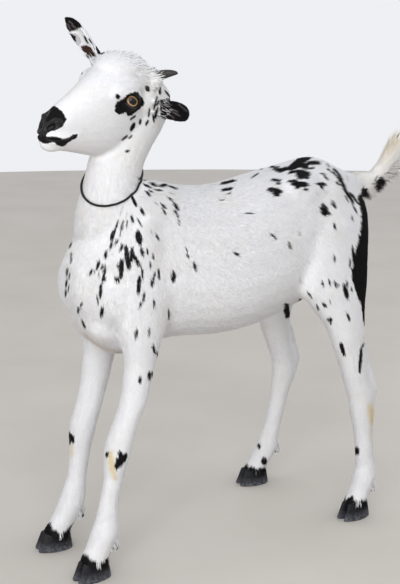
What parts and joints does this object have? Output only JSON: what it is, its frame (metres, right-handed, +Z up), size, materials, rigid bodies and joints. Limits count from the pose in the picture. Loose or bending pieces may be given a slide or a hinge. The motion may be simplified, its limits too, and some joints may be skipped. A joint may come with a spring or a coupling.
{
  "type": "teddy goat model",
  "caption": "Life-size model of a small dappled goat, standing with its head raised and turned a little to its left, ears out sideways and tail up.",
  "frame": {"origin": "the floor under the middle of the model's box", "axes": "+Z up, the goat faces -Y, and its left side is +X"},
  "size_m": [0.2668, 0.7538, 0.8465],
  "materials": {
    "white_coat": "short smooth white hair with black spots",
    "dark_horn": "dark worn horn",
    "eye_amber": "wet and glossy",
    "dark_cord": "thin twisted cord"
  },
  "bodies": {
    "root": {"torso": "white_coat", "neck": "white_coat", "head": "white_coat", "tail": "white_coat", "ear_left": "white_coat", "ear_right": "white_coat", "leg_front_left": "white_coat", "leg_front_right": "white_coat", "leg_hind_left": "white_coat", "leg_hind_right": "white_coat", "horn_left": "dark_horn", "horn_right": "dark_horn", "hoof_front_left_inner": "dark_horn", "hoof_front_left_outer": "dark_horn", "hoof_front_right_inner": "dark_horn", "hoof_front_right_outer": "dark_horn", "hoof_hind_left_inner": "dark_horn", "hoof_hind_left_outer": "dark_horn", "hoof_hind_right_inner": "dark_horn", "hoof_hind_right_outer": "dark_horn", "dewclaw_front_left_inner": "dark_horn", "dewclaw_front_left_outer": "dark_horn", "dewclaw_front_right_inner": "dark_horn", "dewclaw_front_right_outer": "dark_horn", "dewclaw_hind_left_inner": "dark_horn", "dewclaw_hind_left_outer": "dark_horn", "dewclaw_hind_right_inner": "dark_horn", "dewclaw_hind_right_outer": "dark_horn", "eye_left": "eye_amber", "eye_right": "eye_amber", "collar": "dark_cord"}
  },
  "joints": []
}
